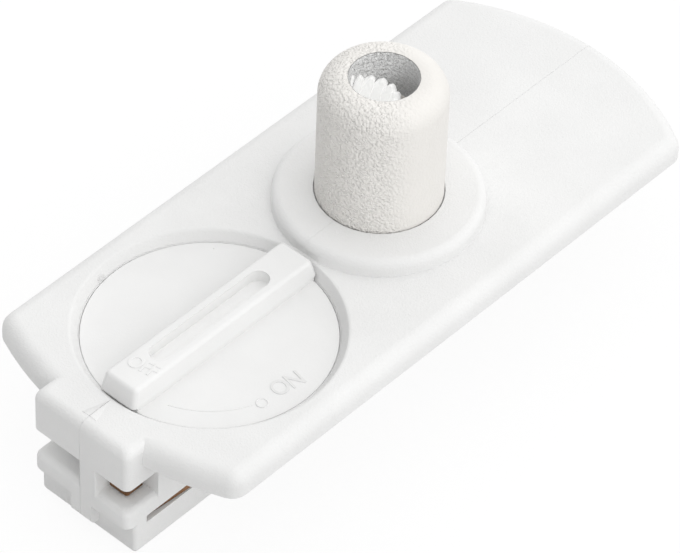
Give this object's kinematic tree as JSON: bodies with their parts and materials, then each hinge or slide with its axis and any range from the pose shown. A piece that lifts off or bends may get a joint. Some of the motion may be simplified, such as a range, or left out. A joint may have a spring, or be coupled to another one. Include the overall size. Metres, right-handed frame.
{
  "type": "track light adapter",
  "caption": "Track adapter with a bowed cover plate, a keyed insertion body, a turning locking knob with contacts, and a screw-down cord grip.",
  "frame": {"origin": "centre of the overall plan, on the plane of the insertion body's bottom face", "axes": "+X along the adapter from the contact tip towards the cord grip end, +Y to the left when looking along +X, +Z from the insertion body up to the cord grip"},
  "size_m": [0.0828, 0.035, 0.0345],
  "materials": {
    "housing": "white moulded plastic, fine eroded texture",
    "knob": "white moulded plastic, smooth satin",
    "inner": "pale grey moulded plastic",
    "collet": "white nylon",
    "cover": "warm white powder coat, orange peel",
    "copper": "bare copper strip",
    "brass": "turned brass",
    "steel": "zinc-plated steel"
  },
  "bodies": {
    "housing": {"housing_left": "housing", "housing_right": "housing", "case_screw_1": "steel", "case_screw_2": "steel", "case_screw_3": "steel", "line_strip": "copper", "neutral_strip": "copper", "line_terminal": "brass", "neutral_terminal": "brass", "earth_terminal": "brass", "line_terminal_screw": "steel", "neutral_terminal_screw": "steel", "earth_terminal_screw": "steel", "earth_strip": "copper", "cord_collet": "collet", "cord_clamp_bar": "inner", "clamp_screw_1": "steel", "clamp_screw_2": "steel"},
    "rotor": {"knob": "knob", "locking_cam": "inner", "cam_screw": "steel"},
    "line_slider": {"line_contact": "copper"},
    "neutral_slider": {"neutral_contact": "copper"},
    "cover": {"grip_cover": "cover"}
  },
  "joints": [
    {"name": "knob_turn", "type": "hinge", "parent": "housing", "child": "rotor", "pos_m": [-0.0217, 0, 0.015], "axis": [0, 0, 1], "range_deg": [-90, 0]},
    {"name": "line_contact_slide", "type": "slide", "parent": "housing", "child": "line_slider", "axis": [0, -1, 0], "range_m": [0, 0.0008]},
    {"name": "neutral_contact_slide", "type": "slide", "parent": "housing", "child": "neutral_slider", "axis": [0, 1, 0], "range_m": [0, 0.0008]},
    {"name": "grip_cover_turn", "type": "hinge", "parent": "housing", "child": "cover", "pos_m": [0.005, 0, 0.0345], "axis": [0, 0, 1], "range_deg": [0, 720]}
  ],
  "couplings": [
    {"joint": "line_contact_slide", "follows": "knob_turn", "m_per_rad": -0.000509},
    {"joint": "neutral_contact_slide", "follows": "knob_turn", "m_per_rad": -0.000509}
  ]
}
